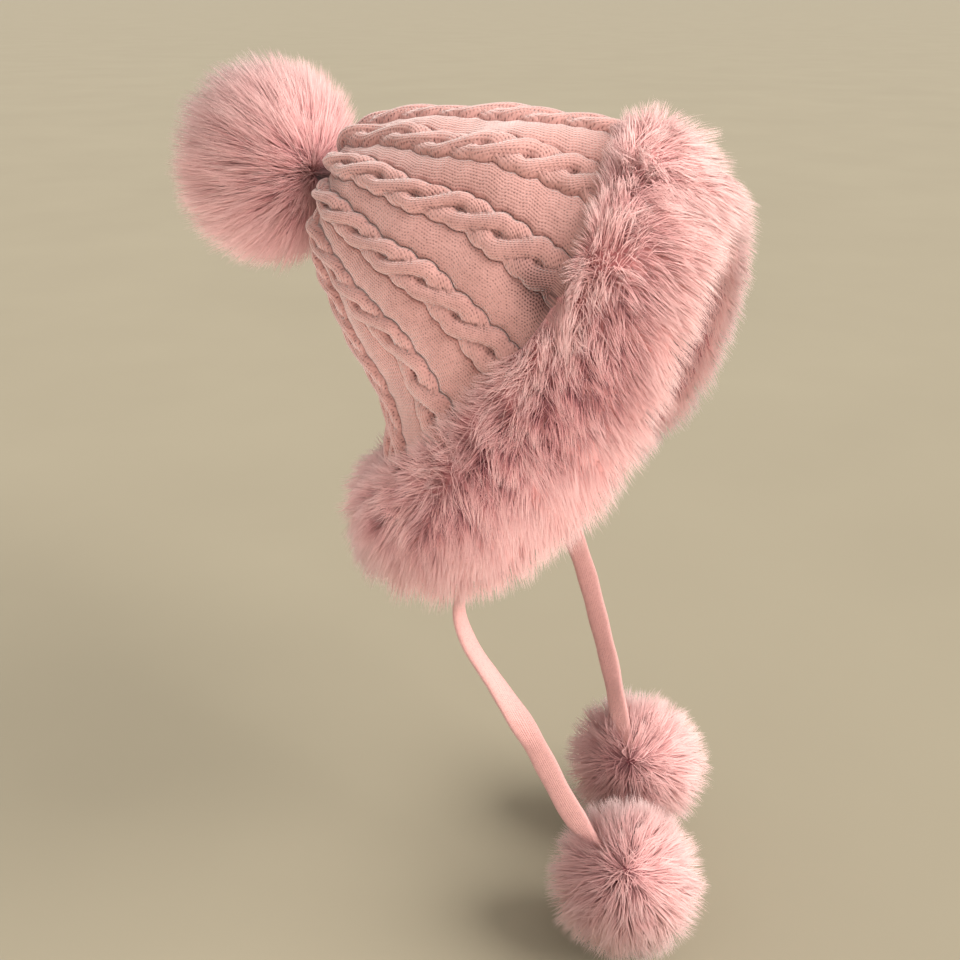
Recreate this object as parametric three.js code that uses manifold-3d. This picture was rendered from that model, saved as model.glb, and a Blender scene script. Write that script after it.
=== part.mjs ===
// A knitted winter hat: a cable-knit crown drawn together at the back, a band of long fur round the whole
// edge, a fur pompom on the gathered end, and two flat knitted ties that each end in a pompom of their own.
// Millimetres, +Z up. The wearer faces -Y, so the wearer's right side is -X.
// The origin is the point inside the crown that rests on top of the head.

import * as THREE from 'three';
import { ParametricGeometry } from 'three/addons/geometries/ParametricGeometry.js';
import { mergeVertices } from 'three/addons/utils/BufferGeometryUtils.js';
import Module from 'manifold-3d';

const wasm = await Module();
wasm.setup();

// Driving dimensions
const wall = 4; // cable knit with its brushed inside
const gap = 0.4; // between one piece and the next
const furClear = 1.2; // between the wall and the backing of the fur
const cableCount = 14;
const cableRelief = 3.2;
const cableGroove = 1.2; // how deep the purl line beside a cable sinks
const cableCrossings = 8; // from the gathered end to the fur
const cableShareAtEnd = 0.75; // of the pitch between two cables
const cableShareAtFur = 0.48;
const pile = 28; // depth of the fur
const topPompom = { radius: 69, flattened: 0.84 };
const tiePompom = { radius: 50, flattened: 0.94 };
const tieWidth = 15;
const tieThickness = 5;

// The crown in rings, from the gathered end to the last one above the fur. A ring is an ellipse across the
// symmetry plane, given by its half width and by where its top and its back lie in that plane, forward and up
// of the origin.
const rings = [
  { name: 'gather', topForward: -115, topUp: -38, backForward: -116, backUp: -42, halfWidth: 2.5 },
  { name: 'pucker', topForward: -118, topUp: -27, backForward: -124, backUp: -58, halfWidth: 17 },
  { name: 'blunt end', topForward: -112, topUp: -13, backForward: -124, backUp: -78, halfWidth: 35 },
  { name: 'shoulder', topForward: -92, topUp: -5, backForward: -113, backUp: -102, halfWidth: 51 },
  { name: 'slouch', topForward: -54, topUp: 1, backForward: -95, backUp: -137, halfWidth: 68 },
  { name: 'back of head', topForward: -10, topUp: 4, backForward: -71, backUp: -169, halfWidth: 79 },
  { name: 'top of head', topForward: 30, topUp: 4, backForward: -64, backUp: -195, halfWidth: 84 },
];

// The two lines round the head between which the fur is sewn, from the forehead to the nape in equal turns:
// the seam above it, and the rim where the wall ends. Forward, to the side and up of the origin.
const edges = [
  { place: 'forehead', seam: [70, 0, -3], rim: [124, 0, -42] },
  { place: 'hairline', seam: [71, 37, -20], rim: [126, 37, -58] },
  { place: 'temple', seam: [67, 68, -58], rim: [122, 66, -98] },
  { place: 'cheek', seam: [50, 82, -104], rim: [104, 79, -156] },
  { place: 'front of flap', seam: [22, 85, -144], rim: [68, 82, -210] },
  { place: 'tip of flap', seam: [-12, 82, -180], rim: [14, 81, -254] },
  { place: 'behind the ear', seam: [-42, 66, -204], rim: [-32, 70, -262] },
  { place: 'side of nape', seam: [-63, 36, -214], rim: [-66, 40, -267] },
  { place: 'nape', seam: [-72, 0, -218], rim: [-80, 0, -269] },
];

// Where the ties run, from the rim of each flap to the pompom: side, forward and up.
const tieRoutes = {
  right: [
    [-79, 11, -261], [-80, 7, -282], [-80, 14, -303], [-80, 33, -329], [-79, 57, -364], [-77, 98, -428],
  ],
  left: [
    [79, 12, -261], [78, 19, -286], [75, 34, -321], [68, 50, -358], [60, 63, -395], [51, 78, -425],
  ],
};
// Middles of the pompoms: side, forward and up.
const topPompomAt = [0, -168, -33];
const tiePompomAt = { right: [-76, 122, -452], left: [34, 98, -448] };

// How finely the surfaces are cut into faces
const rowsPerCrossing = 2;
const rowsUnderFur = 2;
const insideRows = 6;
const furSteps = 56;
const stepsPerSpan = 24; // for measuring along a meridian

const pink = (hex, roughness) => new THREE.MeshStandardMaterial({ color: hex, roughness, metalness: 0 });
const materials = {
  knit: pink('#c9968f', 0.95),
  fur: pink('#e0a29c', 0.9),
  tie: pink('#dba3a3', 0.92),
};

// A point given as side, forward and up, in the frame of the part.
const place = (side, forward, up) => new THREE.Vector3(side, -forward, up);

// A closed line round the head through the rows of the edge table and their mirror images.
function closedEdge(line) {
  const points = edges.map((row) => row[line]);
  const right = points.map(([forward, side, up]) => place(-side, forward, up));
  const left = points.slice(1, -1).reverse().map(([forward, side, up]) => place(side, forward, up));
  return new THREE.CatmullRomCurve3([...right, ...left], true, 'catmullrom', 0.5);
}
const seamLine = closedEdge('seam');
const rimLine = closedEdge('rim');

function ringPoint({ topForward, topUp, backForward, backUp, halfWidth }, turn) {
  const angle = turn * 2 * Math.PI;
  const toTop = (1 + Math.cos(angle)) / 2;
  return place(
    -halfWidth * Math.sin(angle),
    THREE.MathUtils.lerp(backForward, topForward, toTop),
    THREE.MathUtils.lerp(backUp, topUp, toTop),
  );
}

// The line on the wall's outside from the gathered end to the rim, at a turn of 0 to 1 round the head.
const meridians = new Map();
function meridian(turn) {
  const within = turn - Math.floor(turn);
  const key = within.toFixed(6);
  if (!meridians.has(key)) {
    const points = rings.map((ring) => ringPoint(ring, within));
    points.push(seamLine.getPoint(within), rimLine.getPoint(within));
    const curve = new THREE.CatmullRomCurve3(points, false, 'centripetal');
    curve.arcLengthDivisions = (points.length - 1) * stepsPerSpan;
    const lengths = curve.getLengths();
    const seam = lengths[(points.length - 2) * stepsPerSpan];
    meridians.set(key, { curve, seam, whole: lengths.at(-1) });
  }
  return meridians.get(key);
}

// The point at a distance below the seam, negative above it. Past the rim the wall's line runs straight on.
function wallPoint(turn, below) {
  const { curve, seam, whole } = meridian(turn);
  const share = (seam + below) / whole;
  if (share <= 1) return curve.getPointAt(Math.max(share, 0));
  return curve.getPointAt(1).addScaledVector(curve.getTangentAt(1), (share - 1) * whole);
}

// That point with the way out of the wall, the way down towards the rim, and the way round the head.
function wallFrame(turn, below) {
  const point = wallPoint(turn, below);
  const round = wallPoint(turn + 0.001, below).sub(wallPoint(turn - 0.001, below)).normalize();
  const down = wallPoint(turn, below + 0.5).sub(wallPoint(turn, below - 0.5)).normalize();
  return { point, round, down, out: new THREE.Vector3().crossVectors(round, down).normalize() };
}

const gatheredEnd = () => wallPoint(0, -meridian(0).seam);

// A surface is one solid for the joins and cuts once its shared vertices are merged.
function solid(geometry) {
  const bare = new THREE.BufferGeometry().setIndex(geometry.index);
  bare.setAttribute('position', geometry.getAttribute('position'));
  const merged = mergeVertices(bare, 1e-3);
  return new wasm.Manifold(new wasm.Mesh({
    numProp: 3,
    vertProperties: merged.getAttribute('position').array,
    triVerts: new Uint32Array(merged.index.array),
  }));
}

function geometryOf(manifold) {
  const { vertProperties, triVerts } = manifold.getMesh();
  const geometry = new THREE.BufferGeometry();
  geometry.setAttribute('position', new THREE.BufferAttribute(vertProperties, 3));
  geometry.setIndex(new THREE.BufferAttribute(triVerts, 1));
  geometry.computeVertexNormals();
  return geometry;
}

function named(name, geometry, material) {
  const mesh = new THREE.Mesh(geometry, material);
  mesh.name = name;
  return mesh;
}

// A closed surface from a function of column and row. Columns go round it; the first and last rows close to a
// point, or meet each other where the surface is a ring.
function wrapped(columns, rows, at) {
  const put = (u, v, target) => target.copy(at(Math.round(u * columns) % columns, Math.round(v * rows)));
  return new ParametricGeometry(put, columns, rows);
}

// The cables. Columns are set across one pitch, from -1 to 1 on the cable and then over the plain panel.
const cableColumns = [-1, -0.5, 0, 0.5, 1];
const panelColumns = [0.5];
const columnsPerPitch = cableColumns.length + panelColumns.length;
const strandWidth = 0.62; // of half a cable

// Two strands that cross over each other: the height at a place across the cable, after some crossings.
function cableHeight(across, crossings) {
  const swing = Math.cos(crossings * Math.PI);
  const lift = Math.sin(crossings * Math.PI);
  const strand = (middle, over) => {
    const off = (across - middle) / strandWidth;
    return Math.sqrt(Math.max(0, 1 - off * off)) * (0.75 + 0.25 * over);
  };
  return Math.max(strand(0.45 * swing, lift), strand(-0.45 * swing, -lift));
}

// The cables start out of the gathers and end flat under the fur.
function knitFade(share) {
  return THREE.MathUtils.smoothstep(share, 0.02, 0.2) * (1 - THREE.MathUtils.smoothstep(share, 0.9, 0.97));
}

// Where a column lies at a share of the way to the fur, as a turn, and how far the knit stands out there.
function column(index, share) {
  const cable = Math.floor(index / columnsPerPitch);
  const step = index % columnsPerPitch;
  const cableShare = THREE.MathUtils.lerp(cableShareAtEnd, cableShareAtFur, Math.min(1, share));
  const fade = knitFade(share);
  if (step < cableColumns.length) {
    const across = cableColumns[step];
    const rise = cableHeight(across, share * cableCrossings) * cableRelief;
    const height = Math.abs(across) === 1 ? -cableGroove : rise;
    return { turn: (cable + 0.5 * across * cableShare) / cableCount, height: height * fade };
  }
  const over = panelColumns[step - cableColumns.length];
  return { turn: (cable + 0.5 * cableShare + over * (1 - cableShare)) / cableCount, height: 0 };
}

function crown() {
  const seamShare = 0.8; // of the way from the gathered end to the rim, about where the fur begins
  const columns = cableCount * columnsPerPitch;
  const knitRows = cableCrossings * rowsPerCrossing;
  const rimRow = knitRows + rowsUnderFur;
  const outside = (index, row) => {
    if (row === 0) return gatheredEnd();
    const share = row / knitRows;
    const { turn, height } = column(index, share);
    const { seam, whole } = meridian(turn);
    const underFur = (row - knitRows) / rowsUnderFur;
    const below = row <= knitRows ? (share - 1) * seam : underFur * (whole - seam);
    const { point, out } = wallFrame(turn, below);
    return point.addScaledVector(out, height);
  };
  const inside = (index, row) => {
    const share = 1 - row / insideRows; // of the way from the gathered end to the rim
    if (share === 0) return gatheredEnd().add(place(0, 2 * wall, 0));
    const { turn } = column(index, Math.min(1, share / seamShare));
    const { seam, whole } = meridian(turn);
    const { point, out } = wallFrame(turn, share * whole - seam);
    return point.addScaledVector(out, -wall);
  };
  const at = (index, row) => (row <= rimRow ? outside(index, row) : inside(index, row - rimRow - 1));
  return wrapped(columns, rimRow + 1 + insideRows, at);
}

// The blunt end of the crown as a solid a little larger all round, for the pompom to be pressed against.
function endSpace() {
  const columns = 28;
  const rows = 6;
  const reach = 0.4; // of the way to the fur
  const middle = gatheredEnd().add(place(0, 60, 0));
  return solid(wrapped(columns, rows + 1, (index, row) => {
    if (row === 0) return gatheredEnd().add(place(0, -2 * gap, 0));
    if (row > rows) return middle.clone();
    const share = (row / rows) * reach;
    const turn = index / columns;
    const { point, out } = wallFrame(turn, (share - 1) * meridian(turn).seam);
    return point.addScaledVector(out, 3 * gap + knitFade(share) * cableRelief);
  }));
}

// The body of the fur in section, from the seam over the outside, round the rim, and back up along the wall:
// how far below the seam, with the rim at 1, how far past that, and how far out of the wall. The last rows
// follow the wall, which it wraps round.
const inWall = -wall - 2 * furClear;
const furSection = [
  { below: 0, past: 0, out: 0 },
  { below: 0, past: -6, out: 0.32 * pile },
  { below: 0, past: 5, out: 0.74 * pile },
  { below: 0.4, past: 0, out: pile },
  { below: 0.85, past: 0, out: 0.98 * pile },
  { below: 1, past: 12, out: 0.62 * pile },
  { below: 1, past: 18, out: 0 },
  { below: 1, past: 10, out: -0.5 * pile },
  { below: 1, past: -6, out: -0.45 * pile },
  { below: 1, past: -8, out: inWall },
  { below: 1, past: furClear, out: inWall },
  { below: 1, past: furClear, out: 0 },
  { below: 0.5, past: 0, out: 0 },
];

function furFrame(turn, { below, past }) {
  const { seam, whole } = meridian(turn);
  return wallFrame(turn, below * (whole - seam) + past);
}

function furPoint(turn, where) {
  const { point, out } = furFrame(turn, where);
  return point.addScaledVector(out, furClear + where.out);
}

// The rows in which the locks of the trim stand: where their roots are, and how far they lean down the wall.
const lockRows = [
  { below: 0, past: 9, out: 0.45 * pile, lean: -1.2 },
  { below: 0.33, past: 0, out: 0.62 * pile, lean: 1.1 },
  { below: 0.68, past: 0, out: 0.64 * pile, lean: 1.3 },
  { below: 1, past: -2, out: 0.36 * pile, lean: 2.6 },
];
const locksPerRow = 24;
const lockLength = 33;
const lockWidth = 46;

// A lock of fur: a flattened pyramid from its root along a way, wide across it.
function lock(root, way, across, length, width) {
  const cone = new THREE.ConeGeometry(width / 2, length, 4, 1);
  cone.translate(0, length / 2, 0);
  const side = across.clone().addScaledVector(way, -across.dot(way)).normalize();
  const depth = new THREE.Vector3().crossVectors(side, way).multiplyScalar(0.5);
  cone.applyMatrix4(new THREE.Matrix4().makeBasis(side, way, depth).setPosition(root));
  return solid(cone);
}

function furTrim() {
  const body = wrapped(furSteps, furSection.length, (index, row) => (
    furPoint(index / furSteps, furSection[row % furSection.length])));
  const locks = lockRows.flatMap((where, row) => (
    Array.from({ length: locksPerRow }, (_, i) => {
      const turn = (i + (row % 2) / 2) / locksPerRow;
      const { out, down, round } = furFrame(turn, where);
      const way = out.addScaledVector(down, where.lean).normalize();
      return lock(furPoint(turn, where), way, round, lockLength, lockWidth);
    })));
  return wasm.Manifold.union([solid(body), ...locks]);
}

// A ball of fur drawn together at a pole: locks spread evenly over a core, each leaning away from the pole.
// All but their number are shares of the ball's radius.
const ballLocks = { count: 44, length: 0.44, width: 0.72, tips: 1.07, core: 0.9, lean: 0.5 };
function furBall({ radius, flattened }, pole) {
  const core = solid(new THREE.IcosahedronGeometry(radius * ballLocks.core, 1));
  const golden = Math.PI * (3 - Math.sqrt(5));
  const north = new THREE.Vector3(0, 0, 1);
  const locks = Array.from({ length: ballLocks.count }, (_, i) => {
    const up = 1 - (2 * i + 1) / ballLocks.count;
    const spread = Math.sqrt(1 - up * up);
    const out = new THREE.Vector3(spread * Math.cos(i * golden), spread * Math.sin(i * golden), up);
    const away = out.clone().multiplyScalar(up).sub(north);
    const way = out.clone().addScaledVector(away, ballLocks.lean).normalize();
    const across = new THREE.Vector3().crossVectors(way, north).normalize();
    const length = radius * ballLocks.length;
    const root = out.clone().multiplyScalar(radius * ballLocks.tips).addScaledVector(way, -length);
    return lock(root, way, across, length, radius * ballLocks.width);
  });
  const toPole = new THREE.Quaternion().setFromUnitVectors(north, pole);
  const turned = new THREE.Matrix4().makeRotationFromQuaternion(toPole);
  turned.scale(new THREE.Vector3(1, 1, flattened));
  return wasm.Manifold.union([core, ...locks]).transform(turned.toArray());
}

// A tie of a flat knitted tube, or the space round it when clear is more than 0.
function tie(route, clear = 0) {
  const section = new THREE.Shape();
  section.absellipse(0, 0, tieThickness / 2 + clear, tieWidth / 2 + clear, 0, 2 * Math.PI);
  const extrudePath = new THREE.CatmullRomCurve3(route.map((point) => place(...point)));
  return new THREE.ExtrudeGeometry(section, { steps: 16, curveSegments: 4, extrudePath });
}

const hat = new THREE.Group();
hat.add(named('crown', crown(), materials.knit));

const topMiddle = place(...topPompomAt);
const topPole = gatheredEnd().sub(topMiddle).normalize();
const topBall = furBall(topPompom, topPole).translate(topMiddle.toArray()).subtract(endSpace());
hat.add(named('top_pompom', geometryOf(topBall), materials.fur));

let trim = furTrim();
for (const [side, route] of Object.entries(tieRoutes)) {
  const space = solid(tie(route, gap));
  const middle = place(...tiePompomAt[side]);
  const pole = place(...route.at(-1)).sub(middle).normalize();
  const ball = furBall(tiePompom, pole).translate(middle.toArray()).subtract(space);
  trim = trim.subtract(space);
  hat.add(named('tie_' + side, tie(route), materials.tie));
  hat.add(named('tie_pompom_' + side, geometryOf(ball), materials.fur));
}
hat.add(named('fur_trim', geometryOf(trim), materials.fur));

export default hat;
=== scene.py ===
import math

import bmesh
import bpy
import numpy as np
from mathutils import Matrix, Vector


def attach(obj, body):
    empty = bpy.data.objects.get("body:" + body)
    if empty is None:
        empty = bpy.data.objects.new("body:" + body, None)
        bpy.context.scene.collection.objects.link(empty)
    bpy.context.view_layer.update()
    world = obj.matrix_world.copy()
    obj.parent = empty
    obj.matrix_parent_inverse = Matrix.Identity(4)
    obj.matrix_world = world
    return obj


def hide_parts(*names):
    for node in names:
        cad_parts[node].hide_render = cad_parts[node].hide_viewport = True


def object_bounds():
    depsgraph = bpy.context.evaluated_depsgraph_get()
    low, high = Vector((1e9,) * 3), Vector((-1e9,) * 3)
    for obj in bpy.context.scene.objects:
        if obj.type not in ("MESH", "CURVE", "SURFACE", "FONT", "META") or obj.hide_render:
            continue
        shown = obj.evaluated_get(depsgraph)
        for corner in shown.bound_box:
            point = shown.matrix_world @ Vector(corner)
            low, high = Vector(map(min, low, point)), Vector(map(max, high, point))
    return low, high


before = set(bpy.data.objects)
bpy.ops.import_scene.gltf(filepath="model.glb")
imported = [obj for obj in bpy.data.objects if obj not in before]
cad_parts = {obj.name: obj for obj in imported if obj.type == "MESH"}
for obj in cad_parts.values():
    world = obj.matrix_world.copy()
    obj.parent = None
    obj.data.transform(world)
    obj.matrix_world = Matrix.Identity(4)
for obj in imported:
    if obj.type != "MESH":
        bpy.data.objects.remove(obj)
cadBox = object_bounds()
scene = bpy.context.scene
mm = 0.001
golden = math.pi * (3 - math.sqrt(5))  # turns that never line up
evenSteps = (0.7548776662, 0.5698402910)  # two steps that never fall into a pattern
print("frame loaded")

# The camera stands to the wearer's right, a little in front and above.
view = {"place": (-0.6422, -0.2834, 0.0717), "down": 23, "round": -65, "lens": 43.46, "sensor": 36}
camera = bpy.data.objects.new("camera", bpy.data.cameras.new("camera"))
camera.location = view["place"]
camera.rotation_euler = (math.radians(90 - view["down"]), 0, math.radians(view["round"]))
camera.data.lens = view["lens"]
camera.data.sensor_width = view["sensor"]
scene.collection.objects.link(camera)
scene.camera = camera


def place(side, forward, up):  # from millimetres to the side, forward and up
    return np.array([side, -forward, up]) * mm


def unit(ways):
    return ways / np.maximum(np.linalg.norm(ways, axis=-1, keepdims=True), 1e-9)


def ramp(value, low, high):  # 0 at low, 1 at high, smooth between
    share = np.clip((value - low) / (high - low), 0, 1)
    return share * share * (3 - 2 * share)


def smoothLine(points, perSpan):  # a rounded line through the points, or many side by side
    knots = np.concatenate([[2 * points[0] - points[1]], points, [2 * points[-1] - points[-2]]])
    gaps = np.sqrt(np.linalg.norm(np.diff(knots, axis=0), axis=-1, keepdims=True))
    gaps = np.maximum(gaps, 1e-5)
    line = []
    for k in range(len(points) - 1):
        p0, p1, p2, p3 = knots[k:k + 4]
        g0, g1, g2 = gaps[k:k + 3]
        leave = ((p1 - p0) / g0 - (p2 - p0) / (g0 + g1) + (p2 - p1) / g1) * g1
        reach = ((p2 - p1) / g1 - (p3 - p1) / (g1 + g2) + (p3 - p2) / g2) * g1
        for t in np.arange(perSpan) / perSpan:
            line.append(p1 + leave * t + (3 * (p2 - p1) - 2 * leave - reach) * t ** 2
                        + (2 * (p1 - p2) + leave + reach) * t ** 3)
    return np.array(line + [points[-1]])


def lengthAlong(line):  # distance from the line's start to each of its points
    steps = np.linalg.norm(np.diff(line, axis=0), axis=-1)
    return np.concatenate([np.zeros_like(steps[:1]), np.cumsum(steps, axis=0)])


def swells(points, waves):  # slow waves that run in different ways, added up
    return sum(np.sin(points @ np.array(wave["way"]) + wave["shift"]) for wave in waves)


# Shader maths: a Value is a socket, and arithmetic on it adds Math nodes.
class Value:
    def __init__(self, finish, socket):
        self.finish, self.socket = finish, socket

    def maths(self, operation, *others):
        return self.finish.add("Math", {"operation": operation}, dict(enumerate((self,) + others)))

    def __add__(self, other):
        return self.maths("ADD", other)

    def __sub__(self, other):
        return self.maths("SUBTRACT", other)

    def __rsub__(self, other):
        return self.finish.add("Math", {"operation": "SUBTRACT"}, {0: other, 1: self})

    def __mul__(self, other):
        return self.maths("MULTIPLY", other)

    def __pow__(self, other):
        return self.maths("POWER", other)

    def __abs__(self):
        return self.maths("ABSOLUTE")

    __radd__ = __add__
    __rmul__ = __mul__

    def fraction(self):
        return self.maths("FRACT")

    def sine(self):
        return self.maths("SINE")

    def atLeast(self, other):
        return self.maths("MAXIMUM", other)

    def atMost(self, other):
        return self.maths("MINIMUM", other)


sheenRoughness = 0.45  # the same on every finish, as is the gloss
gloss = 0.25


class Finish:
    def __init__(self, name, roughness, sheen, sheenTint):
        self.material = bpy.data.materials.new(name)
        self.material.use_nodes = True
        self.tree = self.material.node_tree
        self.surface = self.tree.nodes["Principled BSDF"]
        self.surface.inputs["Roughness"].default_value = roughness
        self.surface.inputs["Sheen Weight"].default_value = sheen
        self.surface.inputs["Sheen Roughness"].default_value = sheenRoughness
        self.surface.inputs["Sheen Tint"].default_value = sheenTint
        self.surface.inputs["Specular IOR Level"].default_value = gloss

    def add(self, kind, settings=None, sockets=None, out=0):
        node = self.tree.nodes.new("ShaderNode" + kind)
        for setting, value in (settings or {}).items():
            if setting == "stops":
                stops = node.color_ramp.elements
                while len(stops) < len(value):
                    stops.new(0.5)
                for stop, (position, colour) in zip(stops, value):
                    stop.position, stop.color = position, colour
            else:
                setattr(node, setting, value)
        for socket, value in (sockets or {}).items():
            if isinstance(value, Value):
                self.tree.links.new(value.socket, node.inputs[socket])
            else:
                node.inputs[socket].default_value = value
        return Value(self, node.outputs[out])

    def acrossAndAlong(self, layer):  # the two coordinates of one of the piece's UV maps
        both = self.add("UVMap", {"uv_map": layer})
        return (self.add("SeparateXYZ", None, {0: both}, 0), self.add("SeparateXYZ", None, {0: both}, 1))

    def objectNoise(self, scale, detail):
        spot = self.add("TexCoord", None, None, "Object")
        return self.add("TexNoise", None, {"Vector": spot, "Scale": scale, "Detail": detail}, 0)

    def cloud(self, scale, detail, middle, strength):  # noise that is 0 at its middle value
        return (self.objectNoise(scale, detail) - middle) * strength

    def mix(self, factor, first, second):
        return self.add("Mix", {"data_type": "RGBA"}, {0: factor, 6: first, 7: second}, 2)

    def colour(self, value):
        self.tree.links.new(value.socket, self.surface.inputs["Base Color"])

    def relief(self, height, strength, depth):
        bump = self.add("Bump", None, {"Height": height, "Strength": strength, "Distance": depth})
        self.tree.links.new(bump.socket, self.surface.inputs["Normal"])


def tint(red, green, blue):  # a colour as seen on a screen, 0 to 255
    def light(level):
        level = level / 255
        return level / 12.92 if level <= 0.04045 else ((level + 0.055) / 1.055) ** 2.4
    return (light(red), light(green), light(blue), 1)


# The hole colour is painted shade: it darkens the stitch holes, and on the crown its hollows as well.
knitColours = {"wool": tint(206, 154, 145), "dusk": tint(180, 130, 121), "hole": tint(84, 48, 46),
               "sheen": (1, 0.95, 0.92, 1)}
tieColours = {"wool": tint(222, 166, 159), "dusk": tint(222, 166, 159), "hole": tint(164, 106, 104),
              "sheen": (1, 0.95, 0.92, 1)}
# A hair runs from root to tip: its own colour, with painted shade in the dark roots and a painted glow in the
# pale tips.
furColours = {
    "streak": [(0, tint(104, 56, 64)), (0.3, tint(150, 88, 94)), (0.65, tint(212, 144, 142)),
               (1, tint(244, 192, 186))],
    "pale": [(0, tint(236, 172, 167)), (0.5, tint(248, 192, 186)), (1, tint(254, 218, 211))],
    "backing": [(0, tint(214, 150, 147)), (0.09, tint(184, 120, 120)), (0.26, tint(204, 138, 138)),
                (0.36, tint(236, 172, 167)), (0.5, tint(244, 184, 178)), (0.62, tint(176, 112, 114))],
    # the core's dark colour is painted shade deep inside a pompom
    "core": [(0, tint(116, 66, 72)), (1, tint(128, 76, 80))],
    "sheen": (1, 0.88, 0.86, 1),
}
# The shape of a stitch, the clouds that make the wool and the painted shade in its holes uneven, how much
# painted shade darkens the holes and the hollows, its fuzz, and the depth of its bump in millimetres.
knitLook = {"roughness": 0.95, "slope": 0.7, "holeEdge": 0.8, "yarn": 0.35, "blotches": (38, 3, 0.35, 1.4),
            "specks": (170, 2, 0.5, 1.2), "uneven": (520, 1, 0.4, 5), "leastHole": 0.2, "shadeInHoles": 0.7,
            "shadeOnWool": 0.4, "fuzz": 900, "fuzzHigh": 0.6, "bump": 0.8, "bumpDeep": 0.45}


def stitches(finish, layer):  # rows of small Vs: how high the yarn stands, and how deep the holes are
    wale, course = finish.acrossAndAlong(layer)
    leg = abs(wale.fraction() - 0.5) * 2
    across = (leg * math.pi).sine()
    along = ((course + leg * knitLook["slope"]).fraction() * math.pi).sine()
    hole = ((1 - across) * (1 - along)) ** knitLook["holeEdge"]
    return across * knitLook["yarn"] - hole, hole


def knitFinish(name, colours, layer, sheen, hasPaintedShade):
    finish = Finish(name, knitLook["roughness"], sheen, colours["sheen"])
    height, hole = stitches(finish, layer)
    patchy = finish.cloud(*knitLook["blotches"]) + finish.cloud(*knitLook["specks"])
    wool = finish.mix(patchy, colours["wool"], colours["dusk"])
    # painted shade: the stitch holes take the hole colour, and on the crown its hollows take it too
    dark = hole * finish.cloud(*knitLook["uneven"]).atMost(1).atLeast(knitLook["leastHole"])
    if hasPaintedShade:
        paintedShade = finish.add("Attribute", {"attribute_name": "hollow"}, None, 2)
        dark = dark + paintedShade * (hole * knitLook["shadeInHoles"] + knitLook["shadeOnWool"])
    finish.colour(finish.mix(dark.atMost(1), wool, colours["hole"]))
    fuzz = finish.objectNoise(knitLook["fuzz"], 2)
    finish.relief(height + fuzz * knitLook["fuzzHigh"], knitLook["bump"], knitLook["bumpDeep"] * mm)
    return finish.material


def furFinish(name):  # a hair's tone is the same all along it, and its colour runs from root to tip
    # its own colour, with painted shade in the dark roots and a painted glow in the pale tips
    finish = Finish(name, 0.75, 0.3, furColours["sheen"])
    tone, along = finish.acrossAndAlong("OFBake")
    streak = finish.add("ValToRGB", {"stops": furColours["streak"]}, {0: along})
    pale = finish.add("ValToRGB", {"stops": furColours["pale"]}, {0: along})
    finish.colour(finish.mix(tone, streak, pale))
    return finish.material


def backingFinish(name, stops):  # coloured down its rows
    finish = Finish(name, 0.9, 0.3, furColours["sheen"])
    _, along = finish.acrossAndAlong("OFBake")
    uneven = finish.cloud(160, 3, 0.5, 0.12)
    finish.colour(finish.add("ValToRGB", {"stops": stops}, {0: along + uneven}))
    return finish.material


knitMaterial = knitFinish("rose_cable_knit", knitColours, "stitches", 0.85, True)
tieMaterial = knitFinish("rose_flat_knit", tieColours, "stitches", 0.3, False)
furMaterial = furFinish("pink_fur")
backingMaterial = backingFinish("fur_backing", furColours["backing"])
coreShadeMaterial = backingFinish("pompom_shaded_core", furColours["core"])


def keep(mesh, material, slotName, *nodes):
    mesh.materials.append(material)
    mesh.shade_smooth()
    piece = bpy.data.objects.new(mesh.name, mesh)
    scene.collection.objects.link(piece)
    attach(piece, "root")
    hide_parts(*nodes)
    mesh.calc_loop_triangles()
    print(mesh.name, len(mesh.loop_triangles), "triangles")
    return piece


def wrappedSurface(name, places):  # a grid closed round its columns; its ends close to a point or meet
    columns, rows = places.shape[0], places.shape[1] - 1
    bm = bmesh.new()
    bm.loops.layers.uv.new("OFBake")
    bmesh.ops.create_grid(bm, x_segments=columns, y_segments=rows, size=0.5, calc_uvs=True)
    for vert in bm.verts:
        column, row = round((vert.co.x + 0.5) * columns), round((vert.co.y + 0.5) * rows)
        vert.co = places[column % columns, row]
    bmesh.ops.remove_doubles(bm, verts=bm.verts, dist=1e-6)
    bmesh.ops.recalc_face_normals(bm, faces=bm.faces)
    mesh = bpy.data.meshes.new(name)
    bm.to_mesh(mesh)
    bm.free()
    return mesh


def gridCorners(mesh, columns, rows):  # which column and row each corner of each face came from
    uv = np.zeros(len(mesh.loops) * 2, np.float32)
    mesh.uv_layers["OFBake"].data.foreach_get("uv", uv)
    uv = uv.reshape(-1, 2)
    return np.rint(uv[:, 0] * columns).astype(int), np.rint(uv[:, 1] * rows).astype(int)


def addUv(mesh, name, across, along):
    layer = mesh.uv_layers.new(name=name)
    layer.data.foreach_set("uv", np.stack([across, along], axis=1).astype(np.float32).ravel())
    mesh.uv_layers["OFBake"].active = True
    mesh.uv_layers["OFBake"].active_render = True


# Where the ties run, from the rim of each flap to its pompom: side, forward and up.
ties = {
    "right": {
        "route": [(-79, 11, -261), (-80, 7, -282), (-80, 14, -303), (-80, 33, -329), (-81, 58, -362),
                  (-83, 86, -406), (-85, 109, -430)],
        "length": 0.203, "twist": [95, 85, 15],
    },
    "left": {
        "route": [(79, 12, -261), (78, 19, -286), (73, 35, -320), (62, 51, -354), (45, 68, -384),
                  (24, 81, -399), (14, 94, -420)],
        "length": 0.197, "twist": [20, 10, 0],
    },
}
# The flat tube: its section, how it is cut up, where along it the twists hold, and how it narrows at its end.
tieShape = {"width": 15, "thickness": 4.6, "rounded": 0.8, "squared": 0.7, "columns": 20, "perSpan": 5,
            "rowsPerStep": 4, "twistAt": [0, 0.36, 0.6], "wavy": 0.03, "waves": 40, "taper": 0.4,
            "taperAt": (0.86, 0.96), "wale": 1.5, "course": 1.2, "girth": 0.85}


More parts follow.
